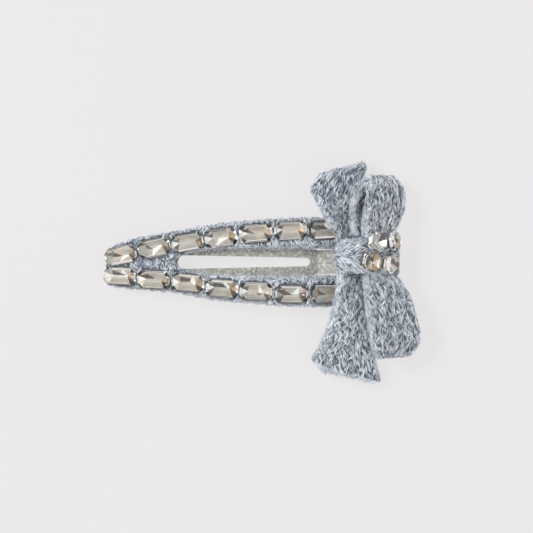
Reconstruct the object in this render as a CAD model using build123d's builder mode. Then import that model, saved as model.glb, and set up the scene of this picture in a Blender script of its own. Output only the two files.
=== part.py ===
"""Snap hair clip with a yarn-covered frame, two rows of cut glass stones and a knitted bow.

Units are millimetres. The clip lies on the surface z = 0 with its long axis along X, its narrow tip towards -X
and its decorated side up. The model is drawn about the clip's own axis and then moved by SET_DOWN, which puts
the origin on that surface, under the middle of the whole object.
"""

import os
from math import asin, cos, degrees, pi, radians, sin, sqrt

from build123d import *

# Sheet steel
SHEET = 0.7
TIP_X = -38.2
CLIP_END_X = 29.0
HINGE_GAP = 0.4
ARCH_RADIUS = 160.0
ARCH_TOP_X = -6.6

# Yarn worked round the frame
WRAP_HALF_WIDTH = 10.9
WRAP_END_X = 21.0
WRAP_SIDE = 1.1
WRAP_ABOVE = 1.8
WRAP_BELOW = 1.1
TIP_BEND = 1.6

# Tongue
TONGUE_LENGTH = 49.0
TONGUE_HALF_WIDTH = 4.1
TONGUE_TIP_HALF_WIDTH = 2.7
TONGUE_ROOT_HALF_WIDTH = 2.95
TONGUE_GAP = 0.25
TONGUE_NECK_LENGTH = 3.4
TONGUE_RISE_LENGTH = 5.8
TONGUE_PAD_LENGTH = 1.0
TONGUE_TIP_LENGTH = 8.0
SLOT_TIP_X = -23.2
SLOT_ROOT_X = 12.1
SLOT_TIP_RADIUS = 1.75
SLOT_ROOT_RADIUS = 1.05
CREASE_X = -1.2
CREASE_WIDTH = 0.8
CREASE_DEPTH = 0.25

# Cut stones of the two rows
STONE_LENGTH = 8.2
STONE_WIDTH = 4.45
STONE_CORNER = 1.25
CROWN_HEIGHT = 0.5
GIRDLE_HEIGHT = 0.3
PAVILION_DEPTH = 1.1
TABLE_SHARE = 0.76
KEEL_WIDTH = 0.12
STONE_SINK = 0.3

# Cut stones on the knot
KNOT_STONE_SIZE = 4.8
KNOT_STONE_CORNER = 1.2
KNOT_CROWN_HEIGHT = 0.6
KNOT_PAVILION_DEPTH = 1.0

# Knitted bow
KNOT_X = 26.1
KNOT_Y = 1.5
KNOT_Z = 7.2
KNOT_WIDTH = 17.3
KNOT_BAND = 10.0
KNOT_DEPTH = 9.0
KNOT_TILT = 30.0
KNOT_RIBS = 4
KNOT_RIB_SHARE = 0.04
KNOT_EDGE_ROUND = 1.6
KNOT_EDGE_SHARE = 0.08
KNOT_LEFT_ROUND = 5.0
KNOT_ROUND_LIMIT = 0.97
RIBBON_WIDTH = 14.0
RIBBON_THICKNESS = 2.4
RIBBON_RIBS = 5
RIB_SHARE = 0.11
LOOP_DEPTH = 3.3
UPPER_LOOP_REACH = 19.0
LOWER_LOOP_REACH = 24.2
UPPER_TAIL_REACH = 22.1
LOWER_TAIL_REACH = 30.4

# Clearance between neighbouring pieces
FIT = 0.12

# Where the clip's own axis lies in the finished frame
SET_DOWN = Location((0.26, 2.68, 0.0))

WRAP_TIP_X = TIP_X - WRAP_SIDE
WRAP_HEIGHT = WRAP_BELOW + SHEET + WRAP_ABOVE
WRAP_RISE = (WRAP_ABOVE - WRAP_BELOW) / 2
REST_SHARE = 0.04
HINGE_X = WRAP_END_X + FIT - HINGE_GAP / 2
TONGUE_DROP = SHEET + WRAP_BELOW + TONGUE_GAP
TONGUE_ROOT_X = HINGE_X - HINGE_GAP / 2
TONGUE_TIP_X = TONGUE_ROOT_X - TONGUE_LENGTH

# Sections of one yarn-covered arm. along: share of the wrap's length from its tip. outer, inner: shares of
# WRAP_HALF_WIDTH from the clip's own middle line. A negative inner edge runs into the other arm. bend: share
# of TIP_BEND that the middle line is off the axis. height: share of WRAP_HEIGHT.
ARM_SECTIONS = [
    {"along": 0.000, "outer": 0.270, "inner": -0.100, "bend": 1.00, "height": 0.55},
    {"along": 0.015, "outer": 0.385, "inner": -0.100, "bend": 0.85, "height": 0.85},
    {"along": 0.040, "outer": 0.455, "inner": -0.100, "bend": 0.62, "height": 1.00},
    {"along": 0.110, "outer": 0.545, "inner": -0.100, "bend": 0.28, "height": 1.00},
    {"along": 0.200, "outer": 0.617, "inner": -0.100, "bend": 0.10, "height": 1.00},
    {"along": 0.290, "outer": 0.675, "inner": -0.060, "bend": 0.02, "height": 1.00},
    {"along": 0.312, "outer": 0.697, "inner": 0.095, "bend": 0.00, "height": 1.00},
    {"along": 0.337, "outer": 0.725, "inner": 0.175, "bend": 0.00, "height": 1.00},
    {"along": 0.365, "outer": 0.757, "inner": 0.220, "bend": 0.00, "height": 1.00},
    {"along": 0.440, "outer": 0.835, "inner": 0.300, "bend": 0.00, "height": 1.00},
    {"along": 0.550, "outer": 0.900, "inner": 0.325, "bend": 0.00, "height": 1.00},
    {"along": 0.700, "outer": 0.965, "inner": 0.325, "bend": 0.00, "height": 1.00},
    {"along": 0.800, "outer": 0.995, "inner": 0.318, "bend": 0.00, "height": 1.00},
    {"along": 0.900, "outer": 1.000, "inner": 0.308, "bend": 0.00, "height": 1.00},
    {"along": 1.000, "outer": 0.990, "inner": 0.295, "bend": 0.00, "height": 1.00},
]

# One row for each stone on the frame. along: share of the wrap's length from its tip to the stone's middle.
# aside: share of WRAP_HALF_WIDTH from the axis. turn, roll: degrees about the stone's own up and long axes.
ROW_STONES = {
    "stone_upper_1": {"along": 0.0650, "aside": 0.155, "turn": 11.0, "roll": -3.0},
    "stone_upper_2": {"along": 0.2050, "aside": 0.325, "turn": 12.0, "roll": 2.0},
    "stone_upper_3": {"along": 0.3420, "aside": 0.452, "turn": 10.0, "roll": -2.0},
    "stone_upper_4": {"along": 0.4810, "aside": 0.555, "turn": 8.5, "roll": 3.0},
    "stone_upper_5": {"along": 0.6270, "aside": 0.662, "turn": 4.5, "roll": -1.0},
    "stone_upper_6": {"along": 0.7700, "aside": 0.725, "turn": 2.0, "roll": 4.0},
    "stone_upper_7": {"along": 0.9120, "aside": 0.735, "turn": 3.0, "roll": -5.0},
    "stone_lower_1": {"along": 0.0600, "aside": -0.330, "turn": -3.0, "roll": 3.0},
    "stone_lower_2": {"along": 0.2010, "aside": -0.412, "turn": -3.0, "roll": -2.0},
    "stone_lower_3": {"along": 0.3445, "aside": -0.482, "turn": -5.0, "roll": 2.0},
    "stone_lower_4": {"along": 0.4860, "aside": -0.612, "turn": -4.0, "roll": 4.0},
    "stone_lower_5": {"along": 0.6270, "aside": -0.680, "turn": -2.0, "roll": -3.0},
    "stone_lower_6": {"along": 0.7745, "aside": -0.745, "turn": -1.0, "roll": 2.0},
    "stone_lower_7": {"along": 0.9180, "aside": -0.745, "turn": 0.0, "roll": -4.0},
}

# One row for each stone on the knot. across, along: shares of KNOT_STONE_SIZE from the middle of the knot's
# face, over its width and along Y. turn: degrees about the stone's own up axis. lean, nod: degrees that the
# stone is tipped from the knot's face towards +across and towards +along. sunk: share of KNOT_DEPTH.
KNOT_STONES = {
    "stone_knot_1": {"across": 0.08, "along": 0.72, "turn": 38.0, "lean": -4.0, "nod": 4.0, "sunk": 0.01},
    "stone_knot_2": {"across": 1.17, "along": 0.77, "turn": -6.0, "lean": 28.0, "nod": 4.0, "sunk": 0.07},
    "stone_knot_3": {"across": 0.92, "along": -0.42, "turn": 40.0, "lean": 14.0, "nod": -6.0, "sunk": 0.03},
    "stone_knot_4": {"across": -0.26, "along": -0.31, "turn": -10.0, "lean": -12.0, "nod": -4.0, "sunk": 0.02},
}

# Sections of each ribbon of the bow, in order along it. reach: share of that ribbon's reach from the knot's
# middle. across, width: shares of RIBBON_WIDTH. lift: share of LOOP_DEPTH above the knot's middle. heading,
# tilt: degrees that the ribbon's width is turned in plan and tipped down towards +X. thick: share of
# RIBBON_THICKNESS.
LOOP_UPPER = [
    {"reach": 0.155, "across": 0.150, "lift": 0.300, "width": 0.57, "heading": 0, "tilt": 34, "thick": 0.75},
    {"reach": 0.370, "across": 0.220, "lift": 0.560, "width": 0.77, "heading": 0, "tilt": 37, "thick": 0.92},
    {"reach": 0.620, "across": 0.300, "lift": 0.780, "width": 0.95, "heading": 1, "tilt": 43, "thick": 1.00},
    {"reach": 0.850, "across": 0.320, "lift": 0.500, "width": 0.91, "heading": 1, "tilt": 44, "thick": 1.00},
    {"reach": 1.000, "across": 0.240, "lift": -0.100, "width": 0.66, "heading": 0, "tilt": 42, "thick": 1.00},
    {"reach": 0.860, "across": 0.140, "lift": -0.560, "width": 0.84, "heading": 1, "tilt": 40, "thick": 1.00},
    {"reach": 0.620, "across": 0.060, "lift": -0.580, "width": 0.88, "heading": 2, "tilt": 38, "thick": 1.00},
    {"reach": 0.370, "across": 0.040, "lift": -0.500, "width": 0.76, "heading": 0, "tilt": 36, "thick": 0.92},
    {"reach": 0.155, "across": 0.055, "lift": -0.360, "width": 0.57, "heading": 0, "tilt": 34, "thick": 0.75},
]
LOOP_LOWER = [
    {"reach": 0.125, "across": 0.150, "lift": 0.300, "width": 0.57, "heading": 0, "tilt": 34, "thick": 0.75},
    {"reach": 0.350, "across": 0.320, "lift": 0.760, "width": 0.88, "heading": 0, "tilt": 31, "thick": 0.92},
    {"reach": 0.620, "across": 0.430, "lift": 0.970, "width": 1.00, "heading": 2, "tilt": 28, "thick": 1.00},
    {"reach": 0.870, "across": 0.490, "lift": 0.720, "width": 0.98, "heading": 1, "tilt": 26, "thick": 1.00},
    {"reach": 1.000, "across": 0.460, "lift": 0.000, "width": 0.72, "heading": -4, "tilt": 24, "thick": 1.00},
    {"reach": 0.870, "across": 0.480, "lift": -0.700, "width": 0.84, "heading": 1, "tilt": 22, "thick": 1.00},
    {"reach": 0.620, "across": 0.460, "lift": -0.740, "width": 0.84, "heading": 2, "tilt": 23, "thick": 1.00},
    {"reach": 0.350, "across": 0.300, "lift": -0.580, "width": 0.68, "heading": 0, "tilt": 29, "thick": 0.92},
    {"reach": 0.125, "across": 0.055, "lift": -0.360, "width": 0.57, "heading": 0, "tilt": 34, "thick": 0.75},
]
TAIL_UPPER = [
    {"reach": 0.135, "across": -0.300, "lift": -0.110, "width": 0.50, "heading": 0, "tilt": 34, "thick": 0.75},
    {"reach": 0.280, "across": -0.375, "lift": -0.140, "width": 0.48, "heading": 2, "tilt": 31, "thick": 0.92},
    {"reach": 0.440, "across": -0.490, "lift": -0.170, "width": 0.54, "heading": 6, "tilt": 24, "thick": 1.00},
    {"reach": 0.650, "across": -0.545, "lift": -0.300, "width": 0.74, "heading": 11, "tilt": 16, "thick": 1.00},
    {"reach": 0.870, "across": -0.498, "lift": -0.750, "width": 1.06, "heading": 20, "tilt": 11, "thick": 1.00},
    {"reach": 0.985, "across": -0.440, "lift": -0.960, "width": 0.82, "heading": 14, "tilt": 9, "thick": 0.85},
]
TAIL_LOWER = [
    {"reach": 0.100, "across": -0.300, "lift": -0.110, "width": 0.50, "heading": 0, "tilt": 34, "thick": 0.75},
    {"reach": 0.230, "across": -0.314, "lift": 0.120, "width": 0.50, "heading": 0, "tilt": 28, "thick": 0.92},
    {"reach": 0.360, "across": -0.321, "lift": 0.250, "width": 0.56, "heading": 2, "tilt": 18, "thick": 1.00},
    {"reach": 0.500, "across": -0.325, "lift": 0.060, "width": 0.66, "heading": 4, "tilt": 12, "thick": 1.00},
    {"reach": 0.660, "across": -0.345, "lift": -0.400, "width": 0.82, "heading": 8, "tilt": 8, "thick": 1.00},
    {"reach": 0.800, "across": -0.346, "lift": -0.850, "width": 1.04, "heading": 12, "tilt": 6, "thick": 1.00},
    {"reach": 0.935, "across": -0.360, "lift": -1.180, "width": 1.27, "heading": 17, "tilt": 4, "thick": 1.00},
    {"reach": 0.987, "across": -0.320, "lift": -1.280, "width": 0.97, "heading": 12, "tilt": 3, "thick": 0.85},
]


def wrap_x(share):
    """Position along the clip's axis of a share of the yarn wrap's length."""
    return WRAP_TIP_X + share * (WRAP_END_X - WRAP_TIP_X)


def arch_drop(x):
    """How far the arch of the sheet has fallen at x from its highest point."""
    return ARCH_RADIUS - sqrt(ARCH_RADIUS ** 2 - (x - ARCH_TOP_X) ** 2)


def arch_z(x):
    """Height of the middle of the frame's sheet at x, with the yarn near the tip resting on z = 0."""
    return WRAP_BELOW + SHEET / 2 + arch_drop(wrap_x(REST_SHARE)) - arch_drop(x)


def arm_edges(section, side):
    """The outer and inner edge of an arm's section, on side +1 or -1 of the clip's middle line."""
    middle = -section["bend"] * TIP_BEND
    return middle + side * section["outer"] * WRAP_HALF_WIDTH, middle + side * section["inner"] * WRAP_HALF_WIDTH


def yarn_arm(side):
    """One solid arm of the wrap, without the room for the steel inside it."""
    with BuildPart() as arm:
        for section in ARM_SECTIONS:
            x = wrap_x(section["along"])
            outer, inner = arm_edges(section, side)
            middle = (x, (outer + inner) / 2, arch_z(x) + WRAP_RISE)
            with BuildSketch(Plane(origin=middle, x_dir=(0, 1, 0), z_dir=(1, 0, 0))):
                SlotOverall(abs(outer - inner), WRAP_HEIGHT * section["height"])
        loft()
    return arm.part


def steel_frame(grow=0.0):
    """The arched teardrop ring with its wide pad, with every surface moved out of the metal by grow."""
    edge = WRAP_SIDE - grow
    outer = {1: [], -1: []}
    window = {1: [], -1: []}
    for section in ARM_SECTIONS:
        x = wrap_x(section["along"])
        for side in (1, -1):
            out, into = arm_edges(section, side)
            if section["along"] >= REST_SHARE:
                outer[side].append((x, out - side * edge))
            if section["inner"] > 0.15:
                window[side].append((min(x, WRAP_END_X), into + side * edge))
    for side in (1, -1):
        window[side].append((WRAP_END_X + FIT, window[side][-1][1]))
    window_tip = (window[1][0][0] - window[1][0][1] + grow, 0)
    with BuildPart() as frame:
        with BuildSketch(Plane.XY):
            with BuildLine():
                Spline(outer[1])
                Spline(outer[-1])
                ThreePointArc(outer[1][0], (TIP_X - grow, -0.9 * TIP_BEND), outer[-1][0])
                ThreePointArc(outer[1][-1], (CLIP_END_X + grow, 0), outer[-1][-1])
            make_face()
            with BuildLine():
                Spline(window[1][:-1])
                Line(window[1][-2], window[1][-1])
                Spline(window[-1][:-1])
                Line(window[-1][-2], window[-1][-1])
                ThreePointArc(window[1][0], window_tip, window[-1][0])
                Line(window[1][-1], window[-1][-1])
            make_face(mode=Mode.SUBTRACT)
        extrude(amount=WRAP_HALF_WIDTH)
        ends = (TIP_X - 1, CLIP_END_X + 1)
        with BuildSketch(Plane.XZ):
            with BuildLine():
                for level in (SHEET / 2 + grow, -SHEET / 2 - grow):
                    points = [(x, arch_z(x) + level) for x in (ends[0], ARCH_TOP_X, ends[1])]
                    ThreePointArc(*points)
                for x in ends:
                    Line((x, arch_z(x) - SHEET / 2 - grow), (x, arch_z(x) + SHEET / 2 + grow))
            make_face()
        extrude(amount=WRAP_HALF_WIDTH + TIP_BEND, both=True, mode=Mode.INTERSECT)
    return frame.part


def octagon(length, width, corner, inset):
    """Draw a cut-corner rectangle with every side moved inwards by inset."""
    half_length = length / 2 - inset
    half_width = width / 2 - inset
    cut = max(corner - inset * (2 - sqrt(2)), 0.02)
    quarter = [(half_length, half_width - cut), (half_length - cut, half_width)]
    left = [(-x, y) for x, y in reversed(quarter)]
    below = [(-x, -y) for x, y in quarter + left]
    Polygon(*quarter, *left, *below, align=None)


def cut_stone(length, width, corner, crown, pavilion, grow=0.0):
    """A step-cut stone: table, eight crown facets, girdle, and eight pavilion facets down to a keel."""
    table_inset = width * (1 - TABLE_SHARE) / 2
    keel_inset = (width - KEEL_WIDTH) / 2
    length, width = length + 2 * grow, width + 2 * grow
    with BuildPart() as stone:
        with BuildSketch(Plane.XY):
            octagon(length, width, corner, 0)
        extrude(amount=GIRDLE_HEIGHT)
        with BuildSketch(Plane.XY.offset(GIRDLE_HEIGHT)):
            octagon(length, width, corner, 0)
        with BuildSketch(Plane.XY.offset(GIRDLE_HEIGHT + crown + grow)):
            octagon(length, width, corner, table_inset)
        loft(ruled=True)
        with BuildSketch(Plane.XY.offset(-pavilion - grow)):
            octagon(length, width, corner, keel_inset)
        with BuildSketch(Plane.XY):
            octagon(length, width, corner, 0)
        loft(ruled=True)
    return stone.part


def row_place(row):
    """Where a stone of the two rows sits: on the yarn, square to the arch, turned and rolled."""
    x = wrap_x(row["along"])
    z = arch_z(x) + SHEET / 2 + WRAP_ABOVE - STONE_SINK
    slope = degrees(asin((x - ARCH_TOP_X) / ARCH_RADIUS))
    place = Location((x, row["aside"] * WRAP_HALF_WIDTH, z)) * Location((0, 0, 0), (0, slope, 0))
    return place * Location((0, 0, 0), (0, 0, row["turn"])) * Location((0, 0, 0), (row["roll"], 0, 0))


def row_stone(row, grow=0.0):
    stone = cut_stone(STONE_LENGTH, STONE_WIDTH, STONE_CORNER, CROWN_HEIGHT, PAVILION_DEPTH, grow)
    return row_place(row) * stone


def knot_place(row):
    """Where a stone of the knot sits: on the knot's face, turned, leaned and nodded."""
    face = Location((KNOT_X, KNOT_Y, KNOT_Z)) * Location((0, 0, 0), (0, KNOT_TILT, 0))
    across = row["across"] * KNOT_STONE_SIZE
    along = row["along"] * KNOT_STONE_SIZE
    spot = face * Location((across, along, (0.5 - row["sunk"]) * KNOT_DEPTH))
    tip = Location((0, 0, 0), (0, row["lean"], 0)) * Location((0, 0, 0), (-row["nod"], 0, 0))
    return spot * tip * Location((0, 0, 0), (0, 0, row["turn"]))


def knot_stone(row, grow=0.0):
    stone = cut_stone(
        KNOT_STONE_SIZE, KNOT_STONE_SIZE, KNOT_STONE_CORNER, KNOT_CROWN_HEIGHT, KNOT_PAVILION_DEPTH, grow
    )
    return knot_place(row) * stone


def ribbed_slot(width, thickness):
    """A ribbon's cross-section: a slot whose long sides swell once for each knitted column."""
    flat = width - thickness
    rib = RIB_SHARE * thickness
    step = flat / RIBBON_RIBS
    half = thickness / 2 - rib
    with BuildSketch(Plane.XY) as section:
        with BuildLine():
            for side in (1, -1):
                for column in range(RIBBON_RIBS):
                    start = -flat / 2 + column * step
                    ThreePointArc(
                        (start, side * half), (start + step / 2, side * (half + rib)), (start + step, side * half)
                    )
            for side in (1, -1):
                ThreePointArc((side * flat / 2, half), (side * width / 2, 0), (side * flat / 2, -half))
        make_face()
    return section.sketch


def with_between(rows):
    """The rows of a ribbon's table with one smoothly blended row between each two neighbours."""
    filled = []
    for index in range(len(rows) - 1):
        before = rows[max(index - 1, 0)]
        here = rows[index]
        following = rows[index + 1]
        after = rows[min(index + 2, len(rows) - 1)]
        between = {}
        for key in here:
            between[key] = 0.5625 * (here[key] + following[key]) - 0.0625 * (before[key] + after[key])
        filled += [here, between]
    return filled + [rows[-1]]


def ribbon_planes(rows, reach, side, grow=0.0):
    """A plane across the ribbon for each row: x along its width, z along its length."""
    middles = []
    widths = []
    for row in rows:
        middles.append(
            Vector(
                KNOT_X + row["across"] * RIBBON_WIDTH,
                KNOT_Y + side * row["reach"] * reach,
                KNOT_Z + row["lift"] * LOOP_DEPTH,
            )
        )
        tilt = radians(row["tilt"])
        heading = radians(row["heading"] * side)
        widths.append(Vector(cos(tilt) * cos(heading), cos(tilt) * sin(heading), -sin(tilt)))
    last = len(middles) - 1
    planes = []
    for index, middle in enumerate(middles):
        across = widths[index]
        ahead = middles[min(index + 1, last)] - middles[max(index - 1, 0)]
        ahead = (ahead - across * ahead.dot(across)).normalized()
        end = (index == last) - (index == 0)
        planes.append(Plane(origin=middle + ahead * end * grow, x_dir=across, z_dir=ahead))
    return planes


def ribbon(rows, reach, side, grow=0.0):
    """One knitted ribbon of the bow, lofted through its sections, with its surface moved out by grow."""
    rows = with_between(rows)
    with BuildPart() as band:
        for row, plane in zip(rows, ribbon_planes(rows, reach, side, grow)):
            with BuildSketch(plane):
                add(ribbed_slot(row["width"] * RIBBON_WIDTH + 2 * grow, row["thick"] * RIBBON_THICKNESS + 2 * grow))
        loft()
    return band.part


def knot_body():
    """The band of the knot, rounded at its left end, with one swelling for each knitted column, not yet cut."""
    steps = 4 * KNOT_RIBS
    across = (cos(radians(KNOT_TILT)), 0, -sin(radians(KNOT_TILT)))
    with BuildPart() as body:
        for step in range(steps + 1):
            along = step / steps
            to_edge = min(along, 1 - along) * KNOT_BAND / KNOT_EDGE_ROUND
            swell = 1 - KNOT_RIB_SHARE * cos(pi * along * KNOT_RIBS) ** 2
            swell -= KNOT_EDGE_SHARE * max(1 - to_edge, 0) ** 2
            off_middle = min(abs(2 * along - 1), KNOT_ROUND_LIMIT)
            pulled_in = KNOT_LEFT_ROUND * (1 - sqrt(1 - off_middle ** 2))
            middle = (KNOT_X, KNOT_Y + (along - 0.5) * KNOT_BAND, KNOT_Z)
            with BuildSketch(Plane(origin=middle, x_dir=across, z_dir=(0, 1, 0))):
                with Locations((pulled_in / 2, 0)):
                    SlotOverall(KNOT_WIDTH * swell - pulled_in, KNOT_DEPTH * swell)
        loft()
    return body.part


RIBBONS = {
    "bow_loop_upper": (LOOP_UPPER, UPPER_LOOP_REACH, 1),
    "bow_loop_lower": (LOOP_LOWER, LOWER_LOOP_REACH, -1),
    "bow_tail_upper": (TAIL_UPPER, UPPER_TAIL_REACH, 1),
    "bow_tail_lower": (TAIL_LOWER, LOWER_TAIL_REACH, -1),
}

with BuildPart() as snap_frame:
    add(steel_frame())
snap_frame.part.label = "snap_frame"

with BuildPart() as tongue:
    with BuildSketch(Plane.XY):
        widest_x = TONGUE_TIP_X + TONGUE_TIP_LENGTH
        neck_x = TONGUE_ROOT_X - TONGUE_PAD_LENGTH - TONGUE_RISE_LENGTH
        with BuildLine():
            ThreePointArc(
                (TONGUE_TIP_X + TONGUE_TIP_HALF_WIDTH, TONGUE_TIP_HALF_WIDTH),
                (TONGUE_TIP_X, 0),
                (TONGUE_TIP_X + TONGUE_TIP_HALF_WIDTH, -TONGUE_TIP_HALF_WIDTH),
            )
            for side in (1, -1):
                Polyline(
                    (TONGUE_TIP_X + TONGUE_TIP_HALF_WIDTH, side * TONGUE_TIP_HALF_WIDTH),
                    (widest_x, side * TONGUE_HALF_WIDTH),
                    (neck_x - TONGUE_NECK_LENGTH, side * TONGUE_HALF_WIDTH),
                    (neck_x, side * TONGUE_ROOT_HALF_WIDTH),
                    (TONGUE_ROOT_X, side * TONGUE_ROOT_HALF_WIDTH),
                )
            Line((TONGUE_ROOT_X, TONGUE_ROOT_HALF_WIDTH), (TONGUE_ROOT_X, -TONGUE_ROOT_HALF_WIDTH))
        make_face()
        with BuildSketch(mode=Mode.PRIVATE) as slot:
            with Locations((SLOT_TIP_X + SLOT_TIP_RADIUS, 0)):
                Circle(SLOT_TIP_RADIUS)
            with Locations((SLOT_ROOT_X - SLOT_ROOT_RADIUS, 0)):
                Circle(SLOT_ROOT_RADIUS)
            make_hull()
        add(slot.sketch, mode=Mode.SUBTRACT)
    extrude(amount=WRAP_HALF_WIDTH)
    with BuildSketch(Plane.XZ):
        rise_end = (TONGUE_ROOT_X - TONGUE_PAD_LENGTH, arch_z(TONGUE_ROOT_X - TONGUE_PAD_LENGTH))
        root = (TONGUE_ROOT_X + 1, arch_z(TONGUE_ROOT_X + 1))
        with BuildLine():
            for level in (SHEET / 2, -SHEET / 2):
                ThreePointArc(
                    (TONGUE_TIP_X - 1, arch_z(TONGUE_TIP_X - 1) - TONGUE_DROP + level),
                    (ARCH_TOP_X, arch_z(ARCH_TOP_X) - TONGUE_DROP + level),
                    (neck_x, arch_z(neck_x) - TONGUE_DROP + level),
                )
                Polyline(
                    (neck_x, arch_z(neck_x) - TONGUE_DROP + level),
                    (rise_end[0], rise_end[1] + level),
                    (root[0], root[1] + level),
                )
            for x, z in ((TONGUE_TIP_X - 1, arch_z(TONGUE_TIP_X - 1) - TONGUE_DROP), root):
                Line((x, z - SHEET / 2), (x, z + SHEET / 2))
        make_face()
    extrude(amount=WRAP_HALF_WIDTH, both=True, mode=Mode.INTERSECT)
    crease_z = arch_z(CREASE_X) - TONGUE_DROP + SHEET / 2
    with Locations((CREASE_X, 0, crease_z)):
        Box(CREASE_WIDTH, 3 * TONGUE_HALF_WIDTH, 2 * CREASE_DEPTH, mode=Mode.SUBTRACT)
tongue.part.label = "tongue"

with BuildPart() as yarn_wrap:
    add(yarn_arm(1))
    add(yarn_arm(-1))
    add(steel_frame(FIT), mode=Mode.SUBTRACT)
    for row in ROW_STONES.values():
        add(row_stone(row, FIT), mode=Mode.SUBTRACT)
yarn_wrap.part.label = "yarn_wrap"

with BuildPart() as bow_knot:
    add(knot_body())
    add(steel_frame(FIT), mode=Mode.SUBTRACT)
    for rows, reach, side in RIBBONS.values():
        add(ribbon(rows[:4], reach, side, FIT), mode=Mode.SUBTRACT)
        if rows[-1]["reach"] < rows[2]["reach"]:
            add(ribbon(rows[-4:], reach, side, FIT), mode=Mode.SUBTRACT)
    for row in KNOT_STONES.values():
        add(knot_stone(row, FIT), mode=Mode.SUBTRACT)
bow_knot.part.label = "bow_knot"

pieces = [snap_frame.part, tongue.part, yarn_wrap.part, bow_knot.part]

for name, (rows, reach, side) in RIBBONS.items():
    with BuildPart() as bow_ribbon:
        add(ribbon(rows, reach, side))
    bow_ribbon.part.label = name
    pieces.append(bow_ribbon.part)

for name, row in ROW_STONES.items():
    with BuildPart() as stone_on_frame:
        add(row_stone(row))
    stone_on_frame.part.label = name
    pieces.append(stone_on_frame.part)

for name, row in KNOT_STONES.items():
    with BuildPart() as stone_on_knot:
        add(knot_stone(row))
    stone_on_knot.part.label = name
    pieces.append(stone_on_knot.part)

os.makedirs("parts", exist_ok=True)
for piece in pieces:
    label = piece.label
    piece = SET_DOWN * piece
    piece.label = label
    export_step(piece, f"parts/{label}.step")
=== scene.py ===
"""Snap hair clip: a yarn-covered steel frame, cut stones and a knitted bow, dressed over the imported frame.

Lengths in this script are millimetres until a mesh is made, but metres for the floor and the lamps. The
tables hold shares of the named sizes, as in the part's source.
"""

from collections import namedtuple
from math import asin, cos, pi, radians, sin, sqrt

import bpy
import numpy as np
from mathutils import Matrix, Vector


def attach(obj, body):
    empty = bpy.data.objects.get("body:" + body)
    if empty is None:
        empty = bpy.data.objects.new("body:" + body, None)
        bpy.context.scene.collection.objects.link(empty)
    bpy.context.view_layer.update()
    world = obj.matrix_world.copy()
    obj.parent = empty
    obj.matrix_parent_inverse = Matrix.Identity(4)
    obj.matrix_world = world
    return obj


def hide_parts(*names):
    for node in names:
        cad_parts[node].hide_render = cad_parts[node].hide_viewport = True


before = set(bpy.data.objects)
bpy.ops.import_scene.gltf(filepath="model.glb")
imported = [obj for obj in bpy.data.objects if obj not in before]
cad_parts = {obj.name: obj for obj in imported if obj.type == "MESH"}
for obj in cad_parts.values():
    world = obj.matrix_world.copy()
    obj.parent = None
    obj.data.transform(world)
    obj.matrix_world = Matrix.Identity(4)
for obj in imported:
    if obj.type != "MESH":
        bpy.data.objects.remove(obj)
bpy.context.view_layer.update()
rng = np.random.default_rng(11)
MM = 0.001
BODY = "clip"

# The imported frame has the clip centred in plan: how far that moves it from the axes of the tables below
SET_DOWN = np.array([0.26, 2.68, 0.0])

# Steel and the yarn worked round it
SHEET = 0.7
OPENING_TIP_X = -20.9
OPENING_END_X = 12.1
OPENING_TIP_RADIUS = 1.75
OPENING_END_RADIUS = 1.05
TIP_X = -38.2
ARCH_RADIUS = 160.0
ARCH_TOP_X = -6.6
REST_SHARE = 0.04
WRAP_HALF_WIDTH = 10.9
WRAP_END_X = 21.0
WRAP_SIDE = 1.1
WRAP_ABOVE = 1.8
WRAP_BELOW = 1.1
TIP_BEND = 1.6
WRAP_TIP_X = TIP_X - WRAP_SIDE
WRAP_HEIGHT = WRAP_BELOW + SHEET + WRAP_ABOVE
WRAP_LIFT = (WRAP_ABOVE - WRAP_BELOW) / 2
WRAP_START_X = WRAP_TIP_X + 0.4
LEAST_FLAT = 0.05
LEAST_RADIUS = 0.1
SCALLOP_DEPTH = 0.35
SCALLOP_LENGTH = 2.9
SCALLOP_MIDDLE = 0.6
CREASE_OVERLAP = 0.4
OPENING_ROOM = 0.1
OPENING_CORE_ROOM = 0.15

# Cut stones
STONE_LENGTH = 8.2
STONE_WIDTH = 4.45
STONE_CORNER = 1.25
PAVILION_DEPTH = 1.1
STONE_SINK = 0.3
KNOT_STONE_SIZE = 4.8
KNOT_STONE_CORNER = 1.2
KNOT_PAVILION_DEPTH = 1.0
FOIL_DROP = 0.17
FOIL_EDGE = 0.02
FOIL_TOP = -0.03
LEAST_KEEL = 0.35

# Room round a stone: beside and below it for its pocket in the yarn, then for strands, how far above and below
# its middle it reaches, and what stands for a point far outside it
POCKET_ROOM = 0.08
KNOT_POCKET_GAP = 0.1
WRAP_POCKET_GAP = 0.12
ROOM_BESIDE = 0.06
ROOM_BELOW = 0.15
STONE_REACH = 3.2
FAR_OUTSIDE = -9.0

# Bow
KNOT = np.array([26.1, 1.5, 7.2]) + SET_DOWN
KNOT_WIDTH = 17.3
KNOT_BAND = 10.0
KNOT_DEPTH = 9.0
KNOT_TILT = 30.0
KNOT_EDGE_ROUND = 1.6
KNOT_EDGE_SHARE = 0.08
KNOT_LEFT_ROUND = 5.0
KNOT_ROUND_LIMIT = 0.97
KNOT_COLUMNS = 4
KNOT_AROUND = 2 * (KNOT_WIDTH - KNOT_DEPTH) + pi * KNOT_DEPTH
KNOT_START_REACH = 0.49
KNOT_STRAND_REACH = 0.495 * KNOT_BAND
KNOT_LEAN = 0.9
KNOT_LEAN_SPREAD = 0.42
RIBBON_WIDTH = 14.0
RIBBON_THICKNESS = 2.4
RIBBON_COLUMNS = 5
LOOP_DEPTH = 3.3
STITCH = 1.35
END_LENGTH = 6.0
END_LEAN = radians(55)
STEPS_PER_SECTION = 40

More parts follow.
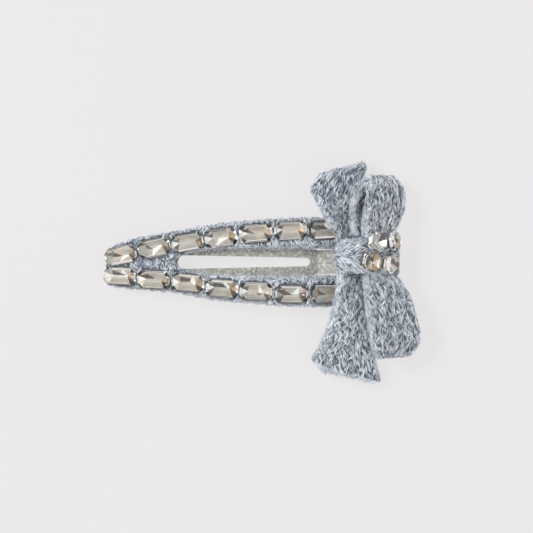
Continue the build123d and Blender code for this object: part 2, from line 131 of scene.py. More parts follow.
# Relief of the knitting: its height, where a stitch's legs lie in a column and how they slant, how high its
# valleys are, and how high the gaps between columns are and how steeply they rise
RIBBON_RELIEF = 0.25
KNOT_RELIEF = 0.3
LEG_OFFSET = 0.34
LEG_SLANT = 0.9
VALLEY_HEIGHT = 0.35
GAP_HEIGHT = 0.25
GAP_SLOPE = 3.2

# How deep the bodies and the roots of the strands lie under the outline of the yarn, and how far in from the
# outline of a flat end its strands keep
RIBBON_BODY_SINK = 0.42
KNOT_BODY_SINK = 0.55
WRAP_BODY_SINK = 0.45
TUFT_SINK = 0.30
UNDER_SINK = 0.42
FIBRE_SINK = 0.25
WRAP_STRAND_SINK = 0.26
END_SINK = 0.1
END_MARGIN = 0.1

# Plies in one tuft, half its width, and the share of its plies that isn't dark
TUFT_PLIES = 4
TUFT_HALF_WIDTH = 0.24
TUFT_NOT_DARK = 0.86

# Strands on a millimetre of a ribbon, in the fringe of a cut end, and on a square millimetre of a flat end
UNDER_PLIES = 56
EDGE_PLIES = 22
FIBRES = 18
FRINGE_FIBRES = 420
TAIL_END_STRANDS = 14
KNOT_END_STRANDS = 6
TIP_END_STRANDS = 26

# How far from a ribbon's middle line strands reach, as a share of its width, and the rings of its body
FACE_EDGE = 0.498
RING_STEP = 0.35
RIBBON_SIDES = 72

# Sections of one yarn-covered arm: share of the wrap's length, outer edge, inner edge, bend, height
ARM = np.array([
    (0.000, 0.270, -0.100, 1.00, 0.55), (0.015, 0.385, -0.100, 0.85, 0.85),
    (0.040, 0.455, -0.100, 0.62, 1.00), (0.110, 0.545, -0.100, 0.28, 1.00),
    (0.200, 0.617, -0.100, 0.10, 1.00), (0.290, 0.675, -0.060, 0.02, 1.00),
    (0.312, 0.697, 0.095, 0.00, 1.00), (0.337, 0.725, 0.175, 0.00, 1.00),
    (0.365, 0.757, 0.220, 0.00, 1.00), (0.440, 0.835, 0.300, 0.00, 1.00),
    (0.550, 0.900, 0.325, 0.00, 1.00), (0.700, 0.965, 0.325, 0.00, 1.00),
    (0.800, 0.995, 0.318, 0.00, 1.00), (0.900, 1.000, 0.308, 0.00, 1.00),
    (1.000, 0.990, 0.295, 0.00, 1.00),
])

# Stones on the frame: share of the wrap's length, share of its half width, turn, roll
ROW_STONES = [
    (0.065, 0.155, 11, -3), (0.205, 0.325, 12, 2), (0.342, 0.452, 10, -2), (0.481, 0.555, 8.5, 3),
    (0.627, 0.662, 4.5, -1), (0.770, 0.725, 2, 4), (0.912, 0.735, 3, -5),
    (0.060, -0.330, -3, 3), (0.201, -0.412, -3, -2), (0.3445, -0.482, -5, 2), (0.486, -0.612, -4, 4),
    (0.627, -0.680, -2, -3), (0.7745, -0.745, -1, 2), (0.918, -0.745, 0, -4),
]

# Stones on the knot: across, along, turn, lean, nod, sunk, tone of its foil, which shifts its painted
# reflections paler or darker
KNOT_STONES = [
    (0.08, 0.72, 38.0, -4.0, 4.0, 0.01, "pale"), (1.17, 0.77, -6.0, 28.0, 4.0, 0.07, "dark"),
    (0.92, -0.42, 40.0, 14.0, -6.0, 0.03, "pale"), (-0.26, -0.31, -10.0, -12.0, -4.0, 0.02, "dark"),
]

# Ribbons of the bow: reach, side, and for each section its reach, across, lift, width, heading, tilt, thick
RIBBONS = {
    "bow_loop_upper": (19.0, 1, [
        (0.155, 0.150, 0.300, 0.57, 0, 34, 0.75), (0.370, 0.220, 0.560, 0.77, 0, 37, 0.92),
        (0.620, 0.300, 0.780, 0.95, 1, 43, 1.00), (0.850, 0.320, 0.500, 0.91, 1, 44, 1.00),
        (1.000, 0.240, -0.100, 0.66, 0, 42, 1.00), (0.860, 0.140, -0.560, 0.84, 1, 40, 1.00),
        (0.620, 0.060, -0.580, 0.88, 2, 38, 1.00), (0.370, 0.040, -0.500, 0.76, 0, 36, 0.92),
        (0.155, 0.055, -0.360, 0.57, 0, 34, 0.75)]),
    "bow_loop_lower": (24.2, -1, [
        (0.125, 0.150, 0.300, 0.57, 0, 34, 0.75), (0.350, 0.320, 0.760, 0.88, 0, 31, 0.92),
        (0.620, 0.430, 0.970, 1.00, 2, 28, 1.00), (0.870, 0.490, 0.720, 0.98, 1, 26, 1.00),
        (1.000, 0.460, 0.000, 0.72, -4, 24, 1.00), (0.870, 0.480, -0.700, 0.84, 1, 22, 1.00),
        (0.620, 0.460, -0.740, 0.84, 2, 23, 1.00), (0.350, 0.300, -0.580, 0.68, 0, 29, 0.92),
        (0.125, 0.055, -0.360, 0.57, 0, 34, 0.75)]),
    "bow_tail_upper": (22.1, 1, [
        (0.135, -0.300, -0.110, 0.50, 0, 34, 0.75), (0.280, -0.375, -0.140, 0.48, 2, 31, 0.92),
        (0.440, -0.490, -0.170, 0.54, 6, 24, 1.00), (0.650, -0.545, -0.300, 0.74, 11, 16, 1.00),
        (0.870, -0.498, -0.750, 1.06, 20, 11, 1.00), (0.985, -0.440, -0.960, 0.82, 14, 9, 0.85)]),
    "bow_tail_lower": (30.4, -1, [
        (0.100, -0.300, -0.110, 0.50, 0, 34, 0.75), (0.230, -0.314, 0.120, 0.50, 0, 28, 0.92),
        (0.360, -0.321, 0.250, 0.56, 2, 18, 1.00), (0.500, -0.325, 0.060, 0.66, 4, 12, 1.00),
        (0.660, -0.345, -0.400, 0.82, 8, 8, 1.00), (0.800, -0.346, -0.850, 1.04, 12, 6, 1.00),
        (0.935, -0.360, -1.180, 1.27, 17, 4, 1.00), (0.987, -0.320, -1.280, 0.97, 12, 3, 0.85)]),
}

# Where the ramp of a material's colours starts and how far it runs, and the depth of its bump in metres
RAMP_START = 0.32
RAMP_SPAN = 0.36
BUMP_DEPTH = 0.0002

# Share of light plies in each ribbon, set apart as painted light and shade; the upper tail, which lies low in
# the shade beside the loops, gets far fewer as painted shade
LIGHT_SHARES_AS_PAINTED_SHADE = {
    "bow_loop_upper": 0.84,
    "bow_loop_lower": 0.73,
    "bow_tail_upper": 0.40,
    "bow_tail_lower": 0.78,
}

# Share of mid plies, and how much less the share of light ones is between the tufts, as painted shade where
# the plies lie low, and on edges and ends
MID_SHARE = 0.4
UNDER_PAINTED_SHADE = 0.24
EDGE_DARKER = 0.1
HALO_LIGHT = 0.52
HALO_MID = 0.36

# Shares of light and mid plies on the wrap: at its tip, elsewhere, and the change on its inner and outer side
# Painted shade: the tip's lower share of light plies darkens the valley where the two arms meet
WRAP_TIP_PAINTED_SHADE = 0.34
WRAP_LIGHT = 0.50
# Painted light: the inner side's larger share of light plies and smaller share of mid ones lighten it against
# the shade between the stones
WRAP_PAINTED_LIGHT_INWARD = 0.35
WRAP_LIGHT_OUTWARD = 0.22
WRAP_MID = 0.3
WRAP_MID_PAINTED_LIGHT_INWARD = 0.6

# Patches on the tops of the ribbons: middle x and y, half length, half width, heading, depth of the dent and
# how much larger the share of light plies is there, as painted shade in the upper loop's hollow and on the
# upper tail beside the loop and as painted light on the loop's ridge
PATCHES = np.array([
    (26.3, 18.0, 3.8, 1.3, 58, 0.55, -0.60),
    (23.7, 15.0, 6.5, 1.5, 82, 0.00, 0.24),
    (19.5, 15.0, 6.0, 2.0, 108, 0.00, -0.28),
])
PATCH_DEPTH, PATCH_PAINTED_LIGHT = 5, 6

# Layers of strands round the knot: count, lengths, widths, sink, rises, shares of light and mid plies, and
# the share of the band that they keep to at the knot's left end, where they fan out from
KNOT_LAYERS = [
    # The first, lowest layer has almost no light plies: painted shade under the layers above
    (2000, (1.2, 2.8), (0.16, 0.30), 0.48, (0.05, 0.25), 0.02, 0.30, 0.6),
    (1500, (1.6, 3.8), (0.16, 0.28), 0.34, (0.15, 0.60), 0.38, 0.36, 0.2),
    (1500, (0.8, 2.4), (0.07, 0.15), 0.30, (0.30, 0.75), 0.46, 0.34, 0.4),
    (2600, (0.4, 1.0), (0.14, 0.24), 0.42, (0.05, 0.35), 0.14, 0.40, 0.6),
]


def unit(v):
    """Vectors scaled to a length of one."""
    return v / np.maximum(np.linalg.norm(v, axis=-1, keepdims=True), 1e-12)


def turned(axis, degrees):
    """The rotation about one axis by an angle."""
    c, s = cos(radians(degrees)), sin(radians(degrees))
    return np.array({
        "x": [[1, 0, 0], [0, c, -s], [0, s, c]],
        "y": [[c, 0, s], [0, 1, 0], [-s, 0, c]],
        "z": [[c, -s, 0], [s, c, 0], [0, 0, 1]],
    }[axis])


KNOT_FACE = turned("y", KNOT_TILT)


def wrap_x(share):
    """The place at a share of the wrap's length from its tip."""
    return WRAP_TIP_X + share * (WRAP_END_X - WRAP_TIP_X)


def arch_drop(x):
    """How far the arch of the frame lies below its top at x."""
    return ARCH_RADIUS - np.sqrt(ARCH_RADIUS ** 2 - (x - ARCH_TOP_X) ** 2)


def arch_z(x):
    """Height of the middle of the frame's sheet."""
    return WRAP_BELOW + SHEET / 2 + arch_drop(wrap_x(REST_SHARE)) - arch_drop(x)


def blend_rows(rows, places):
    """The rows of a table at places counted in rows, on a smooth curve through them."""
    rows = np.asarray(rows, float)
    last = len(rows) - 1
    i = np.clip(places.astype(int), 0, last - 1)
    f = (places - i)[:, None]
    a, b, c, d = rows[np.maximum(i - 1, 0)], rows[i], rows[i + 1], rows[np.minimum(i + 2, last)]
    bend = (2 * a - 5 * b + 4 * c - d) * f ** 2
    twist = (3 * b - a - 3 * c + d) * f ** 3
    return 0.5 * (2 * b + (c - a) * f + bend + twist)


def slot_point(share, flat, radius):
    """A point at a share of the way round a slot of this half flat length and end radius, and the normal."""
    flat, radius = np.broadcast_to(flat, share.shape), np.broadcast_to(radius, share.shape)
    arc = pi * radius
    along = (share % 1.0) * (4 * flat + 2 * arc)
    under = along < 2 * flat
    right = ~under & (along < 2 * flat + arc)
    top = ~under & ~right & (along < 4 * flat + arc)
    turn = np.where(right, (along - 2 * flat) / radius - pi / 2, (along - 4 * flat - arc) / radius + pi / 2)
    turn = np.where(under, -pi / 2, np.where(top, pi / 2, turn))
    middle = np.where(right, flat, -flat)
    middle = np.where(under, along - flat, np.where(top, 3 * flat + arc - along, middle))
    y = middle + radius * np.cos(turn) * ~(under | top)
    return y, radius * np.sin(turn), np.cos(turn), np.sin(turn)


def patched(points, column):
    """The sum over the patches of one of their values at these points, fading out from each middle."""
    total = np.zeros(len(points))
    for row in PATCHES:
        middle_x, middle_y, half_length, half_width, heading = row[:5]
        x, y = ((points - (middle_x, middle_y, 0)) @ turned("z", heading))[:, :2].T
        total += row[column] * np.exp(-(x / half_length) ** 2 - (y / half_width) ** 2)
    return total


def dented(points, out):
    """Points on the tops of the ribbons, pressed in by the patches."""
    depth = patched(points, PATCH_DEPTH) * (points[:, 2] > KNOT[2]) * np.clip(out[:, 2], 0, 1)
    return points - out * depth[:, None]


class Ribbon:
    """The middle surface of one ribbon: its middle line and its across, ahead and normal directions."""

    def __init__(self, reach, side, rows):
        table = blend_rows(rows, np.linspace(0, len(rows) - 1, STEPS_PER_SECTION * len(rows)))
        away, across, lift, width, heading, tilt, thick = table.T
        self.middle = KNOT + np.stack([across * RIBBON_WIDTH, side * away * reach, lift * LOOP_DEPTH], 1)
        tilt = np.radians(tilt)
        heading = np.radians(heading * side)
        flat = np.cos(tilt)
        self.across = np.stack([flat * np.cos(heading), flat * np.sin(heading), -np.sin(tilt)], 1)
        ahead = np.gradient(self.middle, axis=0)
        self.ahead = unit(ahead - self.across * (ahead * self.across).sum(1)[:, None])
        self.normal = np.cross(self.ahead, self.across)
        steps = np.linalg.norm(np.diff(self.middle, axis=0), axis=1)
        self.run = np.concatenate([[0], np.cumsum(steps)])
        self.length = self.run[-1]
        self.width = width * RIBBON_WIDTH
        self.thick = thick * RIBBON_THICKNESS
        self.outward = np.sign(np.gradient(away * reach) + 1e-9)
        # A loop comes back, so that its last section lies nearer the knot than its second
        self.loops = rows[-1][0] < rows[1][0]

    def at(self, s, what):
        """One of the ribbon's measures or directions at lengths s along it."""
        values = getattr(self, what)
        s = np.clip(s, 0, self.length)
        if values.ndim == 1:
            return np.interp(s, self.run, values)
        return np.stack([np.interp(s, self.run, column) for column in values.T], 1)

    def axes(self, s):
        """The across and normal directions at lengths s."""
        return unit(self.at(s, "across")), unit(self.at(s, "normal"))

    def way_out(self, s):
        """1 where the ribbon runs away from the knot and -1 where it comes back."""
        return np.where(self.at(s, "outward") >= 0, 1.0, -1.0)

    def face(self, s, share, side, sink):
        """Points on one face, sink deep, at shares of the width from -0.5 to 0.5, and the normals there."""
        width, thick = self.at(s, "width"), self.at(s, "thick")
        x = share * width
        over = np.clip((np.abs(x) - (width - thick) / 2) / (thick / 2), 0, 0.99)
        rise = np.sqrt(1 - over ** 2)
        across, normal = self.axes(s)
        normal = normal * side
        out = normal * rise[:, None] + across * (np.sign(x) * over)[:, None]
        beyond = np.maximum(s - self.length, 0)[:, None] * unit(self.at(s, "ahead"))
        point = self.at(s, "middle") + beyond + across * x[:, None] + normal * (thick / 2 * rise)[:, None]
        return dented(point - out * sink, out), out

    def skin(self, s, share, sink):
        """Points round the ribbon's slot-shaped section, the normals, and the shares of its width there."""
        thick = self.at(s, "thick")
        y, z, ny, nz = slot_point(share, (self.at(s, "width") - thick) / 2, thick / 2 - sink)
        across, normal = self.axes(s)
        point = self.at(s, "middle") + across * y[:, None] + normal * z[:, None]
        out = across * ny[:, None] + normal * nz[:, None]
        return dented(point, out), out, y / self.at(s, "width")

    def spread(self, s, place):
        """Shares of the width for places from -0.5 to 0.5 spread evenly over a face and its round edges."""
        width, thick = self.at(s, "width"), self.at(s, "thick")
        flat = (width - thick) / 2
        along = 2 * np.abs(place) * (flat + pi * thick / 4)
        round_off = np.clip((along - flat) / (thick / 2), 0, pi / 2)
        return np.sign(place) * np.minimum(along, flat + thick / 2 * np.sin(round_off)) / width


Stone = namedtuple("Stone", "origin rotation half_length half_width corner pavilion tone")


def row_stones():
    """The stones along the two arms of the frame."""
    stones = []
    for along, aside, turn, roll in ROW_STONES:
        x = wrap_x(along)
        height = arch_z(x) + SHEET / 2 + WRAP_ABOVE - STONE_SINK
        origin = np.array([x, aside * WRAP_HALF_WIDTH, height]) + SET_DOWN
        slope = np.degrees(asin((x - ARCH_TOP_X) / ARCH_RADIUS))
        rotation = turned("y", slope) @ turned("z", turn) @ turned("x", roll)
        stones.append(Stone(
            origin, rotation, STONE_LENGTH / 2, STONE_WIDTH / 2, STONE_CORNER, PAVILION_DEPTH, "mixed"))
    return stones


def knot_stones():
    """The stones on the knot."""
    stones = []
    half = KNOT_STONE_SIZE / 2
    for across, along, turn, lean, nod, sunk, tone in KNOT_STONES:
        spot = np.array([across * KNOT_STONE_SIZE, along * KNOT_STONE_SIZE, (0.5 - sunk) * KNOT_DEPTH])
        origin = KNOT + KNOT_FACE @ spot
        rotation = KNOT_FACE @ turned("y", lean) @ turned("x", -nod) @ turned("z", turn)
        stones.append(Stone(origin, rotation, half, half, KNOT_STONE_CORNER, KNOT_PAVILION_DEPTH, tone))
    return stones


STONES = row_stones() + knot_stones()


def in_stone(points, grow):
    """How far inside the nearest stone's outline each point is, seen along that stone, and which stone."""
    inside = np.full(len(points), FAR_OUTSIDE)
    which = np.zeros(len(points), int)
    for index, stone in enumerate(STONES):
        local = (points - stone.origin) @ stone.rotation
        x, y = np.abs(local[:, 0]), np.abs(local[:, 1])
        to_corner = (stone.half_length + stone.half_width - stone.corner - x - y) / sqrt(2)
        inset = np.minimum(np.minimum(stone.half_length - x, stone.half_width - y), to_corner) + grow
        inset = np.where(np.abs(local[:, 2]) < STONE_REACH, inset, FAR_OUTSIDE)
        better = inset > inside
        inside[better] = inset[better]
        which[better] = index
    return inside, which


def foil_depth(stone, inside):
    """How deep the foil behind a stone lies this far inside the stone's outline."""
    return (stone.pavilion + FOIL_DROP) * np.clip(inside / stone.half_width, 0, 1)


def under_stones(points, gap):
    """The points of the yarn, pressed down where they would touch a stone that sits in it."""
    points = points.copy()
    inside, which = in_stone(points, POCKET_ROOM)
    for index, stone in enumerate(STONES):
        mine = (inside > 0) & (which == index)
        if mine.any():
            local = (points[mine] - stone.origin) @ stone.rotation
            depth = foil_depth(stone, inside[mine] - POCKET_ROOM)
            local[:, 2] = np.minimum(local[:, 2], -depth - gap)
            points[mine] = local @ stone.rotation.T + stone.origin
    return points


def clear_of_stones(path):
    """Which strands stay out of every stone and of the foil behind it."""
    keep = np.ones(len(path), bool)
    for stop in range(path.shape[1]):
        points = path[:, stop]
        inside, which = in_stone(points, 0.0)
        for index, stone in enumerate(STONES):
            mine = np.flatnonzero((inside > -ROOM_BESIDE) & (which == index))
            height = ((points[mine] - stone.origin) @ stone.rotation)[:, 2]
            keep[mine[height > -foil_depth(stone, inside[mine]) - ROOM_BELOW]] = False
    return keep


def linear(*values):
    """A colour from its usual 0 to 255 values."""
    shares = [value / 255 for value in values]
    return tuple(v / 12.92 if v <= 0.04045 else ((v + 0.055) / 1.055) ** 2.4 for v in shares)


def shader_of(made):
    """The main shader node of a material."""
    return made.node_tree.nodes["Principled BSDF"]


def material(name, colours, rough, scale, bump=0.0, bump_scale=2500.0, **sockets):
    """A material whose colour wanders through the given colours, with a fine bump."""
    made = bpy.data.materials.new(name)
    made.use_nodes = True
    tree = made.node_tree
    shader = shader_of(made)
    shader.inputs["Roughness"].default_value = rough
    for socket, value in sockets.items():
        shader.inputs[socket.replace("_", " ")].default_value = value
    place = tree.nodes.new("ShaderNodeTexCoord")
    noise = tree.nodes.new("ShaderNodeTexNoise")
    noise.inputs["Scale"].default_value = scale
    noise.inputs["Detail"].default_value = 4
    ramp = tree.nodes.new("ShaderNodeValToRGB")
    stops = ramp.color_ramp.elements
    stops[0].position, stops[1].position = RAMP_START, RAMP_START + RAMP_SPAN
    stops[0].color, stops[1].color = (*linear(*colours[0]), 1), (*linear(*colours[-1]), 1)
    for index in range(1, len(colours) - 1):
        between = stops.new(RAMP_START + RAMP_SPAN * index / (len(colours) - 1))
        between.color = (*linear(*colours[index]), 1)
    tree.links.new(place.outputs["Object"], noise.inputs["Vector"])
    tree.links.new(noise.outputs["Fac"], ramp.inputs["Fac"])
    tree.links.new(ramp.outputs["Color"], shader.inputs["Base Color"])
    if bump:
        grain = tree.nodes.new("ShaderNodeTexNoise")
        grain.inputs["Scale"].default_value = bump_scale
        relief = tree.nodes.new("ShaderNodeBump")
        relief.inputs["Strength"].default_value = bump
        relief.inputs["Distance"].default_value = BUMP_DEPTH
        tree.links.new(place.outputs["Object"], grain.inputs["Vector"])
        tree.links.new(grain.outputs["Fac"], relief.inputs["Height"])
        tree.links.new(relief.outputs["Normal"], shader.inputs["Normal"])
    return made


def glow(made, colour, strength):
    """Lets a material give off a little light of its own."""
    inputs = shader_of(made).inputs
    inputs["Emission Color"].default_value = (*colour, 1)
    inputs["Emission Strength"].default_value = strength


def wool(name, rough, *colours, **sockets):
    """One tone of the marled yarn's plies."""
    return material("wool_" + name, colours, rough, 420, 0.5, 5000, **sockets)


def glass():
    """The clear glass of the stones."""
    made = material("stone_glass", [(255, 254, 252), (253, 250, 245)], 0.02, 260)
    shader = shader_of(made)
    shader.inputs["IOR"].default_value = 1.56
    shader.inputs["Transmission Weight"].default_value = 1.0
    return made


def foil(name, *colours):
    """One tone of the metal foil behind the stones, which stands in for a painted reflection in the facets."""
    return material("foil_" + name, colours, 0.22, 330, 0.1, 900, Metallic=0.35)


# The bodies under the strands are darker than any ply: painted shade in the gaps between the strands
WOOL_CORE_PAINTED_SHADE = material("wool_core_painted_shade", [(68, 75, 85), (95, 102, 112)], 0.95, 700, 0.7)
WOOLS = [
    wool("light", 0.8, (206, 212, 220), (222, 227, 234), (240, 243, 247), Sheen_Weight=0.15),
    wool("mid", 0.85, (164, 172, 182), (184, 191, 201), (202, 208, 216), Sheen_Weight=0.15),
    wool("dark", 0.9, (104, 111, 122), (130, 138, 149)),
]
TIN = material(
    "tin", [(122, 122, 116), (151, 151, 145), (184, 183, 176)], 0.55, 1500, 0.5, 1700, Metallic=0.3)
GLASS = glass()
# The foil tones are painted reflections of the studio in the stones' facets
REFLECTION_FOILS = [
    foil("tan", (226, 213, 200), (242, 232, 221)),
    foil("grey", (208, 211, 206), (236, 236, 232)),
    foil("white", (252, 252, 251), (255, 255, 255)),
    foil("amber", (196, 162, 122), (228, 205, 170)),
    foil("brown", (88, 66, 54), (140, 112, 93)),
    foil("slate", (104, 110, 118), (142, 147, 152)),
]
TAN, GREY, WHITE, AMBER, BROWN, SLATE = range(6)
# Painted glint: the white foil facets give off a little light of their own
glow(REFLECTION_FOILS[WHITE], (1, 1, 1), 0.3)


def make(name, points, faces, materials, kinds=None, smooth=True):
    """One mesh piece from points and faces with equally many corners. It rides on the clip."""
    points, faces = np.asarray(points, np.float32) * MM, np.asarray(faces, np.int32)
    mesh = bpy.data.meshes.new(name)
    mesh.vertices.add(len(points))
    mesh.vertices.foreach_set("co", points.ravel())
    mesh.loops.add(faces.size)
    mesh.loops.foreach_set("vertex_index", faces.ravel())
    mesh.polygons.add(len(faces))
    mesh.polygons.foreach_set("loop_start", np.arange(0, faces.size, faces.shape[1], dtype=np.int32))
    for each in materials:
        mesh.materials.append(each)
    if kinds is not None:
        mesh.polygons.foreach_set("material_index", np.asarray(kinds, np.int32))
    mesh.polygons.foreach_set("use_smooth", np.full(len(faces), smooth))
    mesh.update(calc_edges=True)
    mesh.validate()
    piece = bpy.data.objects.new(name, mesh)
    bpy.context.scene.collection.objects.link(piece)
    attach(piece, BODY)
    return piece


def tube_faces(rings, sides):
    """Triangles of a tube of rings, whose two end points are its last two points."""
    faces = []
    for ring in range(rings - 1):
        for side in range(sides):
            a, b = ring * sides + side, ring * sides + (side + 1) % sides
            faces += [(a, b, b + sides), (a, b + sides, a + sides)]
    first, last = rings * sides, rings * sides + 1
    for side in range(sides):
        a, b = side, (side + 1) % sides
        faces += [(b, a, first), (last - 1 - sides + a, last - 1 - sides + b, last)]
    return np.array(faces)


def closed_tube(points, rings, sides):
    """A grid of points round a tube, with a point added at each end, and its triangles."""
    ends = np.stack([points[:sides].mean(0), points[-sides:].mean(0)])
    return np.concatenate([points, ends]), tube_faces(rings, sides)


def mixed(count, light, mid):
    """A wool for each of count strands, light and mid ones in these shares and the rest dark."""
    draw = rng.random(count)
    return (draw > light).astype(int) + (draw > light + mid)


def strands(name, path, out, width, wools):
    """Many thin three-sided strands, each along its own row of path, thickest in its middle."""
    count, stops = path.shape[:2]
    sides = 3
    path = np.maximum(path, (-np.inf, -np.inf, width.max() / 2))
    girth = np.sin(pi * np.linspace(0, 1, stops)[1:-1]) ** 0.5
    along = unit(np.gradient(path, axis=1))
    aside = unit(np.cross(along, out[:, None]))
    up = np.cross(aside, along)
    rings = []
    for angle in 2 * pi * (np.arange(sides) + 0.25) / sides:
        spoke = aside * cos(angle) + up * sin(angle)
        rings.append(path[:, 1:-1] + spoke[:, 1:-1] * (width[:, None] * girth / 2)[..., None])
    rings = np.stack(rings, 2).reshape(count, -1, 3)
    points = np.concatenate([rings, path[:, :1], path[:, -1:]], 1)
    pattern = tube_faces(stops - 2, sides)
    faces = (np.arange(count)[:, None, None] * points.shape[1] + pattern[None]).reshape(-1, 3)
    return make(name, points.reshape(-1, 3), faces, WOOLS, np.repeat(wools, len(pattern)))


def with_painted_light(path, light):
    """The share of light wool for each strand of a ribbon, larger where a patch paints light and smaller where
    one paints shade.
    """
    middle = path[:, path.shape[1] // 2]
    return np.clip(light + patched(middle, PATCH_PAINTED_LIGHT) * (middle[:, 2] > KNOT[2]), 0.02, 0.95)


def lay(surface, stops, rise, droop=0.0):
    """Paths laid on a surface, which gives points and normals at each stop. They arch by rise.

    Droop runs from 0 for an arch with both ends down to 1 for a path whose far end stands up by rise.
    """
    points, normals = [], []
    for share in np.linspace(0, 1, stops):
        point, normal = surface(share)
        arch = 4 * share * (1 - share) * (1 - droop) + share * droop
        points.append(point + normal * (rise * arch)[:, None])
        normals.append(normal)
    return np.stack(points, 1), unit(np.mean(normals, 0))


def stitch_relief(share, s, columns):
    """Height of a knitted surface from 0 in a gap to 1 on a stitch, at a share across its columns."""
    leg = np.abs(2 * ((share * columns) % 1.0) - 1)
    slant = 0.5 + 0.5 * np.cos(2 * pi * (s / STITCH + LEG_SLANT * leg))
    ridge = np.minimum(1, GAP_SLOPE * np.minimum(leg, 1 - leg) + GAP_HEIGHT)
    return (VALLEY_HEIGHT + (1 - VALLEY_HEIGHT) * slant) * ridge


def stitch_legs(length, columns):
    """Row, column and side of each leg of each stitch."""
    rows = np.arange(0.2, length - 0.1, STITCH)
    return np.stack(np.meshgrid(rows, np.arange(columns), (-1.0, 1.0), indexing="ij"), -1).reshape(-1, 3).T


def knit_body(name, ribbon):
    """The closed body of one ribbon, with the relief of its stitches."""
    rings, sides = int(ribbon.length / RING_STEP), RIBBON_SIDES
    s = np.repeat(np.linspace(0, ribbon.length, rings), sides)
    around = np.tile(np.arange(sides) / sides, rings)
    point, normal, share = ribbon.skin(s, around, RIBBON_BODY_SINK)
    relief = stitch_relief(share + 0.5, s, RIBBON_COLUMNS) * RIBBON_RELIEF
    points, faces = closed_tube(point + normal * relief[:, None], rings, sides)
    return make(name + "_knit", points, faces, [WOOL_CORE_PAINTED_SHADE])


def ribbon_paths(ribbon, side, row, share, slope, length, sink, rise, droop=0.0, stops=5, past=0.5):
    """Paths on one face of a ribbon. Each starts at a row and a share of the width and runs off the knot.

    At a loop's round end they lean inwards, as its outline does. At a cut end they reach little past it.
    """
    way = ribbon.way_out(row)
    width = ribbon.at(row, "width")
    if ribbon.loops:
        near_end = np.clip(1 - np.abs(row - ribbon.length / 2) / END_LENGTH, 0, 1)
        slope = slope * (1 - 0.5 * near_end) - np.clip(4 * share, -1, 1) * END_LEAN * near_end
    last_row = ribbon.length + rng.uniform(-0.4, past, len(row)) - way * length * np.cos(slope)
    row = np.minimum(row, last_row)

    def surface(t):
        s = np.maximum(row + way * length * np.cos(slope) * t, 0)
        place = np.clip(share + np.sin(slope) * length * t / width, -FACE_EDGE, FACE_EDGE)
        return ribbon.face(s, place, side, sink)

    return lay(surface, stops, rise, droop)


def stitch_tufts(ribbon, side, light):
    """Tufts of plies, one for each leg of each stitch."""
    row, column, leg = stitch_legs(ribbon.length, RIBBON_COLUMNS)
    count = len(row)
    total = count * TUFT_PLIES
    row = row + rng.normal(0, 0.4, count)
    share = (column + 0.5 + leg * LEG_OFFSET + rng.normal(0, 0.2, count)) / RIBBON_COLUMNS - 0.5
    slope = -leg * np.radians(rng.normal(24, 16, count))
    length = rng.uniform(1.4, 2.8, count)
    rise = rng.uniform(0.20, 0.55, count)
    row, share, slope, length, rise = (np.repeat(a, TUFT_PLIES) for a in (row, share, slope, length, rise))
    beside = np.tile(np.linspace(-TUFT_HALF_WIDTH, TUFT_HALF_WIDTH, TUFT_PLIES), count)
    beside = beside + rng.normal(0, 0.06, total)
    share = share + beside * np.cos(slope) / ribbon.at(row, "width")
    row = row - 0.5 * length * ribbon.way_out(row) + rng.normal(0, 0.2, total)
    slope = slope + rng.normal(0, 0.10, total)
    path, out = ribbon_paths(ribbon, side, row, share, slope, length, TUFT_SINK, rise)
    width = rng.uniform(0.12, 0.19, total)
    return path, out, width, mixed(total, with_painted_light(path, light), TUFT_NOT_DARK - light)


def under_plies(ribbon, side, light):
    """Short plies that lie low between the tufts, with fewer light ones as painted shade."""
    count = int(UNDER_PLIES * ribbon.length)
    row = rng.uniform(0, ribbon.length, count)
    slope = rng.choice([-1.0, 1.0], count) * np.radians(rng.normal(28, 18, count))
    share = ribbon.spread(row, rng.uniform(-0.5, 0.5, count))
    length = rng.uniform(0.9, 2.2, count)
    rise = rng.uniform(0.05, 0.34, count)
    path, out = ribbon_paths(ribbon, side, row, share, slope, length, UNDER_SINK, rise)
    width = rng.uniform(0.11, 0.20, count)
    return path, out, width, mixed(count, with_painted_light(path, light - UNDER_PAINTED_SHADE), MID_SHARE)


def edge_plies(ribbon, light):
    """Short plies over both long edges of a ribbon, where its two faces meet."""
    count = int(EDGE_PLIES * ribbon.length)
    row = rng.uniform(0, ribbon.length, count)
    way = rng.choice([-1.0, 1.0], count)
    start = rng.uniform(-1.2, 1.2, count)
    slope = rng.normal(0, 0.5, count)
    length = rng.uniform(0.8, 1.8, count)

    def surface(t):
        s = np.clip(row + length * np.cos(slope) * t, 0, ribbon.length)
        turn = start + np.sin(slope) * length * t / (RIBBON_THICKNESS / 2)
        across, normal = ribbon.axes(s)
        out = across * (way * np.cos(turn))[:, None] + normal * np.sin(turn)[:, None]
        width, thick = ribbon.at(s, "width"), ribbon.at(s, "thick")
        beside = across * (way * (width - thick) / 2)[:, None]
        return ribbon.at(s, "middle") + beside + out * (thick / 2 - UNDER_SINK)[:, None], out

    path, out = lay(surface, 4, rng.uniform(0.1, 0.5, count))
    width = rng.uniform(0.11, 0.20, count)
    return path, out, width, mixed(count, light - EDGE_DARKER, MID_SHARE)


